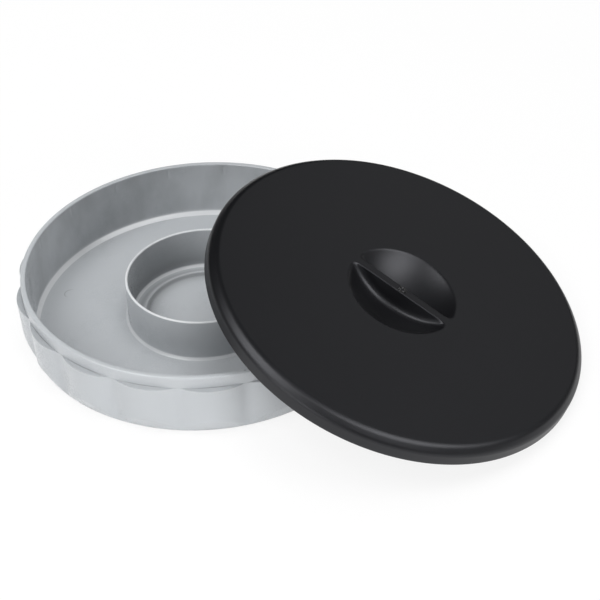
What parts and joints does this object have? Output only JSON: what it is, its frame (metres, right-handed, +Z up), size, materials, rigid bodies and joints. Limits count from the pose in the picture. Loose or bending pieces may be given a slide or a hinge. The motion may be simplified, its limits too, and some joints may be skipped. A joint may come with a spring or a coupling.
{
  "type": "cocktail glass rimmer",
  "caption": "Round moulded rimmer for cocktail glasses: a lobed tray with a ring channel round a centre cup, and a flat lid with a sunk finger grip that leans on the tray's rim.",
  "frame": {"origin": "centre of the tray's underside, on the table", "axes": "+Z up along the tray's axis; +X from the tray towards the lid, square to the lid's low edge; +Y to the left of +X seen from above"},
  "size_m": [0.3369, 0.222, 0.0849],
  "materials": {
    "tray_plastic": "satin moulded, light cool grey",
    "lid_plastic": "satin moulded, black"
  },
  "bodies": {
    "tray": {"tray": "tray_plastic"},
    "lid": {"lid": "lid_plastic"}
  },
  "joints": [
    {"name": "lid_lift", "type": "slide", "parent": "tray", "child": "lid", "axis": [0, 0, 1], "range_m": [0, 0.12]}
  ]
}
